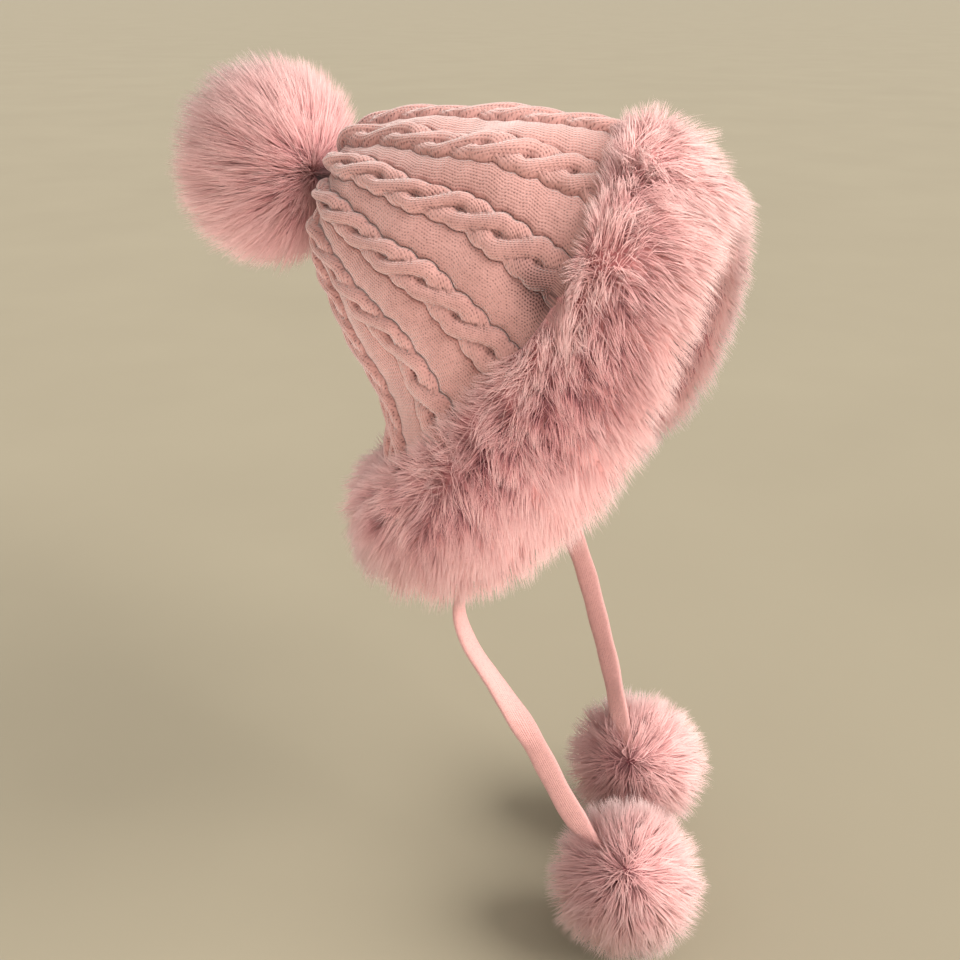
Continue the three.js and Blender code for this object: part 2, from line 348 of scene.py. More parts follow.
def tiePiece(side):
    tie = ties[side]
    knots = np.array([place(*point) for point in tie["route"]])
    path = smoothLine(knots, tieShape["perSpan"])
    line = smoothLine(knots, tieShape["perSpan"] * tieShape["rowsPerStep"])
    away = lengthAlong(line)
    share = away / away[-1]
    ahead = unit(np.gradient(line, axis=0))
    flat = unit(np.cross(ahead, np.array([1.0, 0, 0])))
    thin = np.cross(flat, ahead)
    twist = np.radians(np.interp(share, tieShape["twistAt"], tie["twist"]))[:, None]
    wide = flat * np.cos(twist) + thin * np.sin(twist)
    thin = np.cross(wide, ahead)
    columns = tieShape["columns"]
    angles = 2 * np.pi * np.arange(columns) / columns
    rounded = np.sign(np.cos(angles)) * np.abs(np.cos(angles)) ** tieShape["rounded"]
    squared = np.sign(np.sin(angles)) * np.abs(np.sin(angles)) ** tieShape["squared"]
    wavy = 1 + tieShape["wavy"] * np.sin(share * tieShape["waves"])
    narrow = 1 - tieShape["taper"] * ramp(share, *tieShape["taperAt"])
    breadth = tieShape["width"] / 2 * mm * wavy * narrow
    places = (line[None] + wide[None] * (rounded[:, None] * breadth)[..., None]
              + thin[None] * (squared * tieShape["thickness"] / 2 * mm)[:, None, None])
    ends = [np.repeat(line[None, k:k + 1], columns, axis=0) for k in (0, -1)]
    places = np.concatenate([ends[0], places, ends[1]], axis=1)
    mesh = wrappedSurface(f"tie_knit_{side}", places)
    column, row = gridCorners(mesh, columns, places.shape[1] - 1)
    girth = 2 * (tieShape["width"] + tieShape["thickness"]) * tieShape["girth"]
    reach = np.concatenate([[0], away, away[-1:]])[row] / mm
    addUv(mesh, "stitches", column / columns * round(girth / tieShape["wale"]), reach / tieShape["course"])
    return keep(mesh, tieMaterial, "tie", f"tie_{side}"), path


# The crown in rings, from the gathered end to the last one above the fur. A ring is an ellipse across the
# symmetry plane: where its top and its back lie, forward and up, and its half width.
rings = [
    {"name": "gather", "top": (-117, -32), "back": (-118, -47), "halfWidth": 8},
    {"name": "pucker", "top": (-106, -27), "back": (-108, -58), "halfWidth": 17},
    {"name": "blunt end", "top": (-101, -13), "back": (-107, -78), "halfWidth": 35},
    {"name": "shoulder", "top": (-88, -5), "back": (-108, -102), "halfWidth": 51},
    {"name": "slouch", "top": (-52, 1), "back": (-92, -137), "halfWidth": 68},
    {"name": "back of head", "top": (-10, 4), "back": (-71, -169), "halfWidth": 79},
    {"name": "top of head", "top": (30, 4), "back": (-64, -195), "halfWidth": 84},
]
# The two lines between which the fur is sewn, from the forehead to the nape: forward, to the side and up.
edges = [
    {"place": "forehead", "seam": (70, 0, -3), "rim": (124, 0, -42)},
    {"place": "hairline", "seam": (71, 37, -20), "rim": (126, 37, -58)},
    {"place": "temple", "seam": (67, 68, -58), "rim": (122, 66, -98)},
    {"place": "cheek", "seam": (50, 82, -104), "rim": (104, 79, -156)},
    {"place": "front of flap", "seam": (22, 85, -144), "rim": (68, 82, -210)},
    {"place": "tip of flap", "seam": (-12, 82, -180), "rim": (14, 81, -254)},
    {"place": "behind the ear", "seam": (-42, 66, -204), "rim": (-32, 70, -262)},
    {"place": "side of nape", "seam": (-63, 36, -214), "rim": (-66, 40, -267)},
    {"place": "nape", "seam": (-72, 0, -218), "rim": (-80, 0, -269)},
]
hatGrid = {"turns": 720, "crownRows": 240, "bandRows": 80, "perSpan": 24}


def closedEdge(line, turns):  # the closed line through the table's points and their mirror images
    points = [(row[line][0], -row[line][1], row[line][2]) for row in edges]
    points += [(forward, -side, up) for forward, side, up in points[-2:0:-1]]
    points = np.array([place(side, forward, up) for forward, side, up in points])
    at = turns % 1 * len(points)
    k, t = at.astype(int), (at % 1)[:, None]
    p0, p1, p2, p3 = (points[(k + step) % len(points)] for step in (-1, 0, 1, 2))
    leave, reach = (p2 - p0) / 2, (p3 - p1) / 2
    return (p1 + leave * t + (3 * (p2 - p1) - 2 * leave - reach) * t ** 2
            + (2 * (p1 - p2) + leave + reach) * t ** 3)


def hatLines():  # every line from the gathered end to the rim, in even steps to the seam and beyond it
    turns = np.arange(hatGrid["turns"]) / hatGrid["turns"]
    toTop = ((1 + np.cos(2 * np.pi * turns)) / 2)[:, None]
    aside = -np.sin(2 * np.pi * turns)
    knots = []
    for ring in rings:
        forward, up = (np.array(ring["back"]) + (np.array(ring["top"]) - ring["back"]) * toTop).T
        knots.append(np.stack([aside * ring["halfWidth"], -forward, up], axis=1) * mm)
    knots = np.array(knots + [closedEdge("seam", turns), closedEdge("rim", turns)])
    lines = smoothLine(knots, hatGrid["perSpan"])
    away = lengthAlong(lines)
    seam = (len(knots) - 2) * hatGrid["perSpan"]
    crownShare = np.arange(hatGrid["crownRows"]) / hatGrid["crownRows"]
    bandShare = np.arange(hatGrid["bandRows"] + 1) / hatGrid["bandRows"]
    grid = []
    for n in range(hatGrid["turns"]):
        whole = away[:, n]
        wanted = np.concatenate([crownShare * whole[seam],
                                 whole[seam] + bandShare * (whole[-1] - whole[seam])])
        grid.append(np.stack([np.interp(wanted, whole, lines[:, n, axis]) for axis in range(3)], axis=1))
    return np.array(grid), away[seam], away[-1] - away[seam]


hatSurface, crownLengths, bandLengths = hatLines()


def roundTheHead(turn, lengths):
    turns = np.arange(hatGrid["turns"] + 1) / hatGrid["turns"]
    return np.interp(turn % 1, turns, np.append(lengths, lengths[0]))


def crownLength(turn):
    return roundTheHead(turn, crownLengths)


def bandLength(turn):
    return roundTheHead(turn, bandLengths)


# Down is 0 at the gathered end, 1 at the seam and 2 at the rim, and runs straight on past it.
def hatPoint(turn, down):
    across = turn % 1 * hatGrid["turns"]
    left = across.astype(int) % hatGrid["turns"]
    right = (left + 1) % hatGrid["turns"]
    share = (across % 1)[..., None]
    row = np.where(down < 1, down * hatGrid["crownRows"],
                   hatGrid["crownRows"] + (down - 1) * hatGrid["bandRows"])
    above = np.clip(row.astype(int), 0, hatSurface.shape[1] - 2)
    step = (row - above)[..., None]
    upper = hatSurface[left, above] * (1 - share) + hatSurface[right, above] * share
    lower = hatSurface[left, above + 1] * (1 - share) + hatSurface[right, above + 1] * share
    return upper + (lower - upper) * step


def hatFrame(turn, down):  # the point, the way out of the wall, the way down it and the way round the head
    turn, down = np.broadcast_arrays(turn, down)
    aside, below = 0.002, 0.01
    around = unit(hatPoint(turn + aside, down) - hatPoint(turn - aside, down))
    along = unit(hatPoint(turn, down + below) - hatPoint(turn, np.maximum(down - below, 0)))
    return hatPoint(turn, down), unit(np.cross(around, along)), along, around


# Across a cable, 1 is half its breadth, and down the crown, 1 is the seam. Heights are in millimetres.
cables = {
    "count": 14, "crossings": 7.7, "first": -0.2, "relief": 5.4,
    "shares": [0, 0.3, 0.5, 1], "broad": [0.78, 0.62, 0.5, 0.46],
    "slant": 0.2, "swing": 0.56, "strand": 0.38, "spread": 0.4, "strandHigh": 0.78, "strandLift": 0.22,
    "crease": 0.36, "creaseWide": 0.16, "creaseFrom": 0.05,
    "grooveDeep": 1.1, "grooveWide": 1.3, "grooveMost": 0.06, "panelBulge": 0.9,
    "startAt": (0.05, 0.23), "endAt": (1.05, 1.3),
    "swayTurns": [0, 0.071, 0.143, 0.214, 0.286, 0.36, 0.5], "sway": [0, 0.02, 0.014, 0.01, 0.003, 0, 0],
    "swayFrom": (0.3, 0.56), "swayTo": (0.7, 1),
    "foldDeep": 2.5, "foldFrom": (0.01, 0.05), "foldTo": (0.12, 0.4),
    "waveHigh": 0.8, "wavesFrom": (0.1, 0.3),
    "columns": 20, "panelColumns": 10, "rows": 104, "rowsUnderFur": 6, "insideRows": 10, "wall": 4,
    "wale": 3.4, "course": 1.9, "insideWales": 8,
}
wallWaves = [{"way": (88, 31, 60), "shift": 0.4}, {"way": (-52, 97, 35), "shift": 2.1},
             {"way": (20, -60, 118), "shift": 4.0}, {"way": (140, 90, -40), "shift": 1.2}]
# Painted shade on the knit: how dark the hollows are between the strands, in the grooves and folds and at the
# gathered end, a painted shade that deepens over the crown towards that end, and a painted shadow in the pit
# beside either temple where the knit dips under the fur.
paintedShadeLevels = {
    "gap": 0.5, "gapDark": 1.6, "gapWide": 0.5, "groove": 0.6, "fold": 0.8, "foldTo": (0.05, 0.35),
    "gatherTo": (0.07, 0.21), "shade": 0.3, "shadeTo": (0.1, 0.8), "endAt": (1.1, 1.5),
    "pit": 1.6, "pitTurn": 0.158, "pitWide": 0.018, "pitDown": 0.99, "pitLong": 0.09,
}


def mirrored(turn, turns, values):  # a table of one side of the head, turns 0 to 0.5, that holds for both
    return np.interp(np.minimum(turn % 1, 1 - turn % 1), turns, values)


def sway(turn, share):  # the cables run straight from end to end, so they bow away from the head's middle
    aside = mirrored(turn, cables["swayTurns"], cables["sway"]) * np.where(turn % 1 < 0.5, 1, -1)
    return turn + aside * ramp(share, *cables["swayFrom"]) * (1 - ramp(share, *cables["swayTo"]))


def strandHeights(across, phase):  # two strands that cross over each other, and where their middles lie
    swing, lift = np.cos(np.pi * phase), np.sin(np.pi * phase)
    half = cables["strand"] + cables["spread"] * np.abs(lift)
    heights, middles = [], []
    for sign in (1, -1):
        middle = sign * cables["swing"] * swing
        off = (across - middle) / half
        high = cables["strandHigh"] + cables["strandLift"] * sign * lift
        heights.append(np.sqrt(np.clip(1 - off * off, 0, 1)) * high)
        middles.append(middle)
    return heights, middles


def cableEdge(phase):  # how far the strands reach from the cable's middle
    swing, lift = np.abs(np.cos(np.pi * phase)), np.abs(np.sin(np.pi * phase))
    return cables["swing"] * swing + cables["strand"] + cables["spread"] * lift


def knitColumns():  # one pitch: over the cable, across a groove, over the plain knit, across a groove
    cable = [("cable", q) for q in np.linspace(-1, 1, cables["columns"] + 1)]
    panel = [("panel", q) for q in np.linspace(0, 1, cables["panelColumns"] + 1)]
    return cable + [("leave", 1 / 3), ("leave", 2 / 3)] + panel + [("reach", 2 / 3), ("reach", 1 / 3)]


def crownPiece():
    pitch = knitColumns()
    columns = len(pitch) * cables["count"]
    knitRows, underRows, insideRows = cables["rows"], cables["rowsUnderFur"], cables["insideRows"]
    outside = knitRows + underRows + 1
    rows = outside + insideRows - 1
    kinds = np.array([kind for kind, _ in pitch] * cables["count"])[:, None]
    within = np.array([q for _, q in pitch] * cables["count"])[:, None]
    cable = np.repeat(np.arange(cables["count"]), len(pitch))[:, None]

    down = np.concatenate([np.arange(knitRows) / knitRows, 1 + np.arange(underRows + 1) / underRows,
                           2 * (1 - np.arange(1, insideRows + 1) / insideRows)])
    down[-1] = 0
    down = np.broadcast_to(down, (columns, rows + 1))
    share = np.minimum(down, 1)
    crossings = share * cables["crossings"] + cables["first"]
    half = 0.5 * np.interp(share, cables["shares"], cables["broad"])
    middle, aside = cable / cables["count"], 0.01
    speed = np.linalg.norm(hatPoint(middle + aside, down) - hatPoint(middle - aside, down), axis=-1)
    speed = speed / (2 * aside) / mm  # in millimetres for a whole turn of the head
    # the turn of a column: the scalloped edge of the cable first, then the groove and the plain knit
    groove = np.minimum(cables["grooveWide"] * cables["count"] / np.maximum(speed, 1), cables["grooveMost"])
    slant = cables["slant"]
    rightEdge = half * cableEdge(crossings + slant)
    leftEdge = half * cableEdge(crossings - slant)
    overCable = np.where(within < 0, leftEdge, rightEdge) * within
    panelStart, panelEnd = rightEdge + groove, 1 - leftEdge - groove
    overPanel = panelStart + (panelEnd - panelStart) * within
    offset = np.select([kinds == "cable", kinds == "leave", kinds == "reach"],
                       [overCable, rightEdge + groove * within, 1 - leftEdge - groove * within], overPanel)
    turn = sway((cable + offset) / cables["count"], share)

    # how high the knit stands there
    across = np.where(kinds == "cable", overCable / half, 2)
    phase = crossings + slant * within
    (first, second), middles = strandHeights(across, phase)
    crease = cables["crease"] * np.exp(-((first - second) / cables["creaseWide"]) ** 2)
    crease = crease * (np.minimum(first, second) > cables["creaseFrom"])
    rope = (np.maximum(first, second) - crease) * cables["relief"]
    bulge = cables["panelBulge"] * (1 - (2 * within - 1) ** 2)
    height = np.select([kinds == "cable", kinds == "panel"], [rope, bulge], -cables["grooveDeep"])
    start = ramp(share, *cables["startAt"])
    height = height * start * (1 - ramp(down, *cables["endAt"]))
    folded = ramp(share, *cables["foldFrom"]) * (1 - ramp(share, *cables["foldTo"]))
    folds = np.cos(2 * np.pi * cables["count"] * turn)
    height = height + folds * folded * cables["foldDeep"]
    point, out, _, _ = hatFrame(turn, down)
    inner = np.arange(rows + 1)[None] >= outside
    waves = cables["waveHigh"] * swells(point, wallWaves) * ramp(share, *cables["wavesFrom"])
    height = np.where(inner, -cables["wall"], height) + waves
    places = point + out * (height * mm)[..., None]
    places[:, 0] = hatPoint(np.zeros(1), np.zeros(1))
    places[:, -1] = places[0, 0] + place(0, 2 * cables["wall"], 0)

    mesh = wrappedSurface("crown_knit", places)
    column, row = gridCorners(mesh, columns, rows)
    lap = column // columns
    column = column % columns
    # stitches: over the plain knit they keep to the middle of the panel, on a cable to the strand on top
    length = crownLength(turn) * down / mm
    courses = length[column, row] / cables["course"]
    stepLength = speed / cables["count"]
    panelWales = (offset - (panelStart + panelEnd) / 2) * stepLength / cables["wale"]
    strandWales = [(across - m) * half * stepLength / cables["wale"] for m in middles]
    faceOf = np.repeat(np.arange(len(mesh.polygons)), [len(p.loop_indices) for p in mesh.polygons])
    count = np.bincount(faceOf)

    def perFace(values):
        return (np.bincount(faceOf, values) / count)[faceOf]

    onCable = perFace((kinds[:, 0] == "cable").astype(float)[column]) > 0.99
    firstOnTop = perFace(first[column, row]) > perFace(second[column, row])
    wales = np.where(onCable, np.where(firstOnTop, strandWales[0][column, row], strandWales[1][column, row]),
                     panelWales[column, row])
    plainWales = (turn[column, row] + lap) * cables["insideWales"] * cables["count"]
    wales = np.where(perFace(row) > outside - 0.6, plainWales, wales)
    addUv(mesh, "stitches", wales, courses)
    # how much painted shade each point takes in its colour: between the strands, in the grooves and folds, at
    # the gathered end, over the crown towards that end, and a painted shadow in the pit by either temple
    gap = np.clip(paintedShadeLevels["gap"] - np.maximum(first, second), 0, 1) * (np.abs(across) < paintedShadeLevels["gapWide"])
    paintedShade = np.select([kinds == "cable", kinds == "panel"],
                     [crease + gap * paintedShadeLevels["gapDark"], np.zeros_like(crease)], paintedShadeLevels["groove"]) * start
    foldShade = (0.5 - 0.5 * folds) * (1 - ramp(share, *paintedShadeLevels["foldTo"])) * paintedShadeLevels["fold"]
    gatherShade = 1 - ramp(share, *paintedShadeLevels["gatherTo"])
    shade = paintedShadeLevels["shade"] * (1 - ramp(share, *paintedShadeLevels["shadeTo"]))
    paintedShade = np.maximum(np.maximum(paintedShade, foldShade), gatherShade) + shade
    # the painted shadow in the pit beside either temple, under the fur
    away = (np.minimum(turn % 1, 1 - turn % 1) - paintedShadeLevels["pitTurn"]) / paintedShadeLevels["pitWide"]
    below = (down - paintedShadeLevels["pitDown"]) / paintedShadeLevels["pitLong"]
    paintedShade = np.maximum(paintedShade, paintedShadeLevels["pit"] * np.exp(-away ** 2 - below ** 2))
    paintedShade = np.where(inner, 0, paintedShade * (1 - ramp(down, *paintedShadeLevels["endAt"])))
    corner = np.zeros(len(mesh.vertices))
    vertex = np.zeros(len(mesh.loops), np.int32)
    mesh.loops.foreach_get("vertex_index", vertex)
    corner[vertex] = paintedShade[column, row]
    layer = mesh.attributes.new("hollow", "FLOAT", "POINT")
    layer.data.foreach_set("value", corner.astype(np.float32))
    keep(mesh, knitMaterial, "knit", "crown")


# A hair's rings, as a share of its length and of its thickness, its flat section, how far its shading follows
# the whole fur, and how far it turns to its tip.
hairShape = {"rings": [(0, 1.0), (0.5, 0.62)], "wide": 1.2, "thin": 0.8, "soft": 0.9, "tipShade": 0.3}
leastTone, mostTone = 0.02, 0.98
oddWay = np.array([0.31, 0.22, 0.93])  # hardly any hair runs this way


# Many hairs joined to one mesh. A hair bends from its first way into its last and tapers to its tip.
def hairs(name, roots, bends, tips, outs, radii, tones, material, slotName, *nodes):
    count = len(roots)
    spin = np.random.default_rng(count).uniform(0, 2 * np.pi, count)
    stops = [stop for stop, _ in hairShape["rings"]]
    segments = len(stops)
    corners, facing = [], []
    for t, wide in hairShape["rings"]:
        point = roots * (1 - t) ** 2 + bends * 2 * t * (1 - t) + tips * t ** 2
        ahead = unit((bends - roots) * (1 - t) + (tips - bends) * t)
        side = unit(np.cross(ahead, oddWay))
        other = np.cross(ahead, side)
        for corner in range(3):
            angle = spin + corner * 2 * np.pi / 3
            offset = (side * np.cos(angle)[:, None] * hairShape["wide"]
                      + other * np.sin(angle)[:, None] * hairShape["thin"])
            corners.append(point + offset * (radii * wide)[:, None])
            facing.append(unit(offset * (1 - hairShape["soft"]) + outs * hairShape["soft"]))
    verts = np.stack(corners + [tips], axis=1)
    facing = np.stack(facing + [unit(outs + unit(tips - roots) * hairShape["tipShade"])], axis=1)
    perHair = verts.shape[1]
    faces, sizes = [0, 2, 1], [3]
    for ring in range(segments - 1):
        for c in range(3):
            faces += [3 * ring + c, 3 * ring + (c + 1) % 3, 3 * ring + 3 + (c + 1) % 3, 3 * ring + 3 + c]
            sizes.append(4)
    for c in range(3):
        faces += [perHair - 4 + c, perHair - 4 + (c + 1) % 3, perHair - 1]
        sizes.append(3)
    loops = (np.array(faces)[None] + perHair * np.arange(count)[:, None]).ravel().astype(np.int32)
    sizes = np.tile(sizes, count)
    mesh = bpy.data.meshes.new(name)
    mesh.vertices.add(count * perHair)
    mesh.vertices.foreach_set("co", verts.astype(np.float32).ravel())
    mesh.loops.add(len(loops))
    mesh.loops.foreach_set("vertex_index", loops)
    mesh.polygons.add(len(sizes))
    starts = np.concatenate([[0], np.cumsum(sizes)[:-1]])
    mesh.polygons.foreach_set("loop_start", starts.astype(np.int32))
    mesh.update(calc_edges=True)
    along = np.append(np.repeat(stops, 3), 1)
    layer = mesh.uv_layers.new(name="OFBake")
    uv = np.stack([np.repeat(tones, perHair)[loops], np.tile(along, count)[loops]], axis=1)
    layer.data.foreach_set("uv", uv.astype(np.float32).ravel())
    piece = keep(mesh, material, slotName, *nodes)
    mesh.normals_split_custom_set_from_vertices(facing.reshape(-1, 3))
    return piece


# The fur of the trim, from the seam over the outside, round the rim and a little way up inside. For each
# row: how far down the band and past that, how far the backing stands out, and which way the hairs leave it
# and how long they are, in millimetres.
growth = [
    {"below": 0, "past": -3, "stand": 1.5, "out": 0.5, "down": -1.0, "length": 13, "pale": 0.7, "rough": 0.6},
    {"below": 0, "past": 2, "stand": 5, "out": 0.9, "down": -0.85, "length": 17, "pale": 0.7, "rough": 0.8},
    {"below": 0.14, "past": 0, "stand": 8, "out": 1.0, "down": -0.4, "length": 20, "pale": 0.65, "rough": 1},
    {"below": 0.4, "past": 0, "stand": 10, "out": 0.95, "down": 0.3, "length": 21, "pale": 0.6, "rough": 1},
    {"below": 0.7, "past": 0, "stand": 11, "out": 0.8, "down": 0.8, "length": 20, "pale": 0.8, "rough": 0.6},
    {"below": 1, "past": 0, "stand": 9, "out": 0.7, "down": 1.0, "length": 19, "pale": 1, "rough": 0.3},
    {"below": 1, "past": 5, "stand": 2, "out": 0.25, "down": 1.0, "length": 17, "pale": 1, "rough": 0.3},
    {"below": 1, "past": 3, "stand": -7, "out": -0.45, "down": 0.9, "length": 15, "pale": 0.9, "rough": 0.4},
    {"below": 1, "past": -6, "stand": -9, "out": -0.9, "down": 0.5, "length": 12, "pale": 0.4, "rough": 0.7},
    {"below": 1, "past": -14, "stand": -6.5, "out": -0.7, "down": -0.3, "length": 8, "pale": 0, "rough": 0.8},
]
# The backing's inner side, from inside the rim back to the seam, with the same columns.
backingInside = [
    {"below": 1, "past": -12, "stand": -5.2},
    {"below": 1, "past": 1.4, "stand": 1.2},
    {"below": 0.5, "past": 0, "stand": 1},
    {"below": 0.05, "past": 0, "stand": 1},
]
# The hairs grow in locks: how many, how far a lock spreads, how close its tips gather, how unruly it all is.
trimHair = {
    "locks": 1750, "perLock": 30, "lockWide": 4, "gather": 0.74, "gatherBend": 0.35, "sag": 0.4, "thick": 0.3,
    "bend": 0.45, "longest": 1.06, "short": 0.2, "lockRough": 0.17, "hairRough": 0.09, "lockUneven": 0.1,
    "wander": 0.22, "wanderSize": 0.042, "ruffle": 0.18, "ruffleSize": 0.024, "patchy": 0.11,
    "patchSize": 0.022, "lockTone": 0.7, "hairTone": 0.14, "toneSize": 0.05, "calmThin": 0.25,
    "backingColumns": 240,
}
# Round either side of the head, from the forehead: how far the fur lies back over the knit, how much lower it
# starts, and the row of the growth table along which its dark roots show.
roundHead = {"turns": [0, 0.06, 0.113, 0.155, 0.2, 0.24, 0.325, 0.4, 0.5],
             "over": [0.8, 0.75, 0.2, -0.4, 0.3, 1, 1, 0.8, 0.7], "lower": [6, 9, 10, 8, 2, 0, 0, 0, 0],
             "darkRow": [3.4, 3.2, 3.6, 3.9, 3.3, 3.1, 3.1, 3, 3], "darkWide": 1.05,
             "dark": [0, 0.2, 0.7, 0.9, 0.85, 0.85, 0.75, 0.45, 0.3]}
# The fur of either side lies away from these spots, which are given by their turn and their way down. It is
# rougher and paler near them.
partings = {"spots": [(0.113, 1.42), (0.31, 1.28)], "strength": 0.75, "reach": 24, "bare": 5,
            "rough": 1.5, "roughReach": 8, "pale": 0.75, "paleReach": 13}
# Once round the whole head: how long the fur is against the growth table.
fullness = {"turns": [0, 0.06, 0.12, 0.2, 0.32, 0.5, 0.8, 0.88, 0.94, 1],
            "length": [1.25, 1.35, 1.15, 1, 1.15, 1.4, 0.95, 0.45, 0.6, 1.25]}
patchWaves = [{"way": (0.9, 0.3, 0.5), "shift": 0.4}, {"way": (-0.5, 1.0, 0.3), "shift": 2.1},
              {"way": (0.2, -0.6, 1.1), "shift": 4.0}, {"way": (1.2, 0.9, -0.4), "shift": 1.2}]


def patches(points, scale):  # -1 to 1, in soft patches of about the scale in metres
    return swells(points * (2 * np.pi / scale), patchWaves) / 3


def partingSpots():
    return np.concatenate([hatPoint(np.array([turn, -turn]), np.array([down, down]))
                           for turn, down in partings["spots"]])


def partedWays(points):  # how the fur leans away from the partings
    ways = np.zeros_like(points)
    for spot in partingSpots():
        away = points - spot
        far = np.linalg.norm(away, axis=-1, keepdims=True) / mm
        strength = partings["strength"] * np.exp(-(far / partings["reach"]) ** 2)
        ways += unit(away) * strength * ramp(far, 0, partings["bare"])
    return ways


def fromPartings(points):  # how far the nearest parting is, in millimetres
    return np.min([np.linalg.norm(points - spot, axis=-1) for spot in partingSpots()], axis=0) / mm


def growthAt(share, what):  # a column of the table, share 0 to 1 along its rows
    return np.interp(share * (len(growth) - 1), np.arange(len(growth)), [row[what] for row in growth])


def trimPlace(turn, share):  # a point of the backing, and the ways out of it, down it and round the head
    lower = mirrored(turn, roundHead["turns"], roundHead["lower"]) * (1 - ramp(share, 0.05, 0.35))
    past = (growthAt(share, "past") + lower) * mm
    down = 1 + growthAt(share, "below")
    length = np.where(down + past < 1, crownLength(turn), bandLength(turn))
    down = down + past / np.where((down <= 1) & (past < 0), crownLength(turn), length)
    point, out, along, around = hatFrame(turn, down)
    return point + out * (growthAt(share, "stand") * mm)[..., None], out, along, around


def evenShares(count):  # pairs of numbers from 0 to 1 that cover a square evenly
    return [(0.5 + np.arange(count) * step) % 1 for step in evenSteps]


def trimBacking():
    turn = np.arange(trimHair["backingColumns"]) / trimHair["backingColumns"]
    share = np.linspace(0, 1, 2 * len(growth) - 1)  # on the table's rows, and half way between them
    outer = trimPlace(*np.meshgrid(turn, share, indexing="ij"))[0]
    inner = []
    for row in backingInside:
        point, out, _, _ = hatFrame(turn, 1 + row["below"] + row["past"] * mm / bandLength(turn))
        inner.append((point + out * row["stand"] * mm)[:, None])
    places = np.concatenate([outer] + inner + [outer[:, :1]], axis=1)
    keep(wrappedSurface("fur_backing", places), backingMaterial, "fur", "fur_trim")


